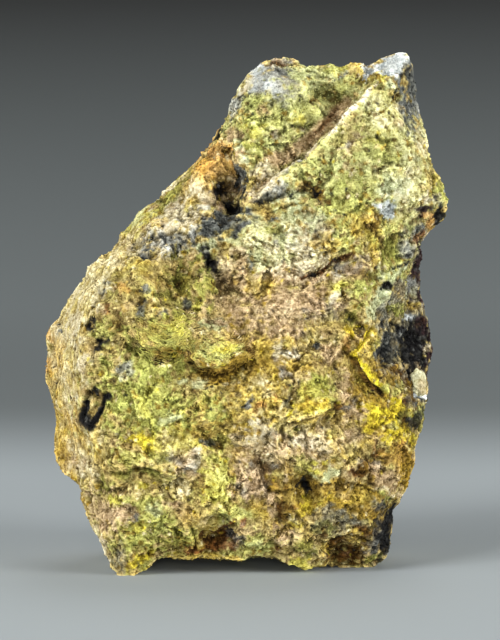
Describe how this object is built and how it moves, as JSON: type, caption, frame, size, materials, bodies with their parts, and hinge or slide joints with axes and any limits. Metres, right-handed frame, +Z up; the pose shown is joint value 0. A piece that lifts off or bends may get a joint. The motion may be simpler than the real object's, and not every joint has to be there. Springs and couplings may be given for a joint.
{
  "type": "mineral specimen",
  "caption": "Upright wedge of broken host rock under an earthy crust of yellow, ochre and pink-brown schoepite, with a diagonal ledge, a deep notch and level feet.",
  "frame": {"origin": "centre of the underside of the stone's box, on the ground it stands on", "axes": "+Z up, +X to the right of someone who faces the crusted front, +Y from the front to the broken back"},
  "size_m": [0.0414, 0.0272, 0.0526],
  "materials": {
    "crust": "matt, granular to fibrous earthy crust, sulphur yellow through ochre to pink-brown, with slate-grey and glossy black spots"
  },
  "bodies": {
    "root": {"specimen": "crust"}
  },
  "joints": []
}
